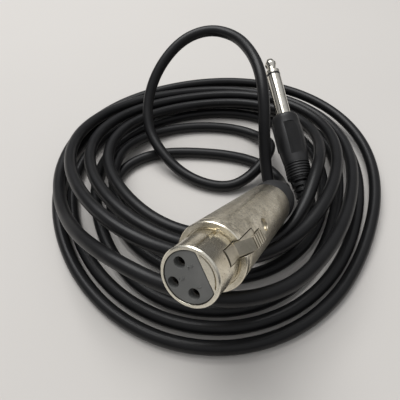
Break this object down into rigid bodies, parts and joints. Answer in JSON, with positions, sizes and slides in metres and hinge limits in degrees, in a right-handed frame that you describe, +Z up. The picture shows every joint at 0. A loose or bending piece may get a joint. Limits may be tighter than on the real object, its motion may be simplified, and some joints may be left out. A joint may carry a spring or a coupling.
{
  "type": "coiled audio cable",
  "caption": "Coiled black audio cable with a latching socket plug at one end and a straight jack plug at the other, its coil lying flat with a raised loop.",
  "frame": {"origin": "centre of the outline seen from above, on the surface that the coil lies on", "axes": "+Z up from that surface, -Y towards the side where the socket plug's nose points, +X to the right seen from there"},
  "size_m": [0.153, 0.1674, 0.059],
  "materials": {
    "cable_black": "soft satin black jacket",
    "boot_rubber": "matte",
    "shell_nickel": "worn satin nickel plate",
    "latch_nickel": "satin nickel plate",
    "pin_steel": "satin",
    "insert_grey": "matte",
    "contact_silver": "silver-plated",
    "clamp_plastic": "matte",
    "tag_brass": "tinned",
    "copper_strands": "bare strands",
    "core_red": "smooth",
    "core_white": "smooth",
    "handle_black": "matte",
    "jack_nickel": "bright nickel plate",
    "ring_black": "smooth"
  },
  "bodies": {
    "cable_set": {"cable_coil": "cable_black", "cable_lead_jack": "cable_black", "cable_lead_xlr": "cable_black", "jack_cable_end": "cable_black", "jack_core": "core_red", "jack_handle": "handle_black", "jack_insulator": "ring_black", "jack_rear_washer": "ring_black", "jack_shield_tail": "copper_strands", "jack_sleeve": "jack_nickel", "jack_sleeve_lug": "tag_brass", "jack_tip": "jack_nickel", "jack_tip_lug": "tag_brass", "xlr_boot": "boot_rubber", "xlr_cable_clamp": "clamp_plastic", "xlr_cable_end": "cable_black", "xlr_contact_1": "contact_silver", "xlr_contact_2": "contact_silver", "xlr_contact_3": "contact_silver", "xlr_core_cold": "core_white", "xlr_core_hot": "core_red", "xlr_ground_tag": "tag_brass", "xlr_insert": "insert_grey", "xlr_insert_screw": "pin_steel", "xlr_latch_pin": "pin_steel", "xlr_latch_spring": "pin_steel", "xlr_shell": "shell_nickel", "xlr_shield_tail": "copper_strands"},
    "latch": {"xlr_latch": "latch_nickel"}
  },
  "joints": [
    {"name": "latch_press", "type": "hinge", "parent": "cable_set", "child": "latch", "pos_m": [-0.00229, -0.07352, 0.0524], "axis": [-0.416, 0.6266, 0.659], "range_deg": [0, 4.5], "stiffness_Nm_per_rad": 0.05, "springref_deg": -5.16}
  ]
}
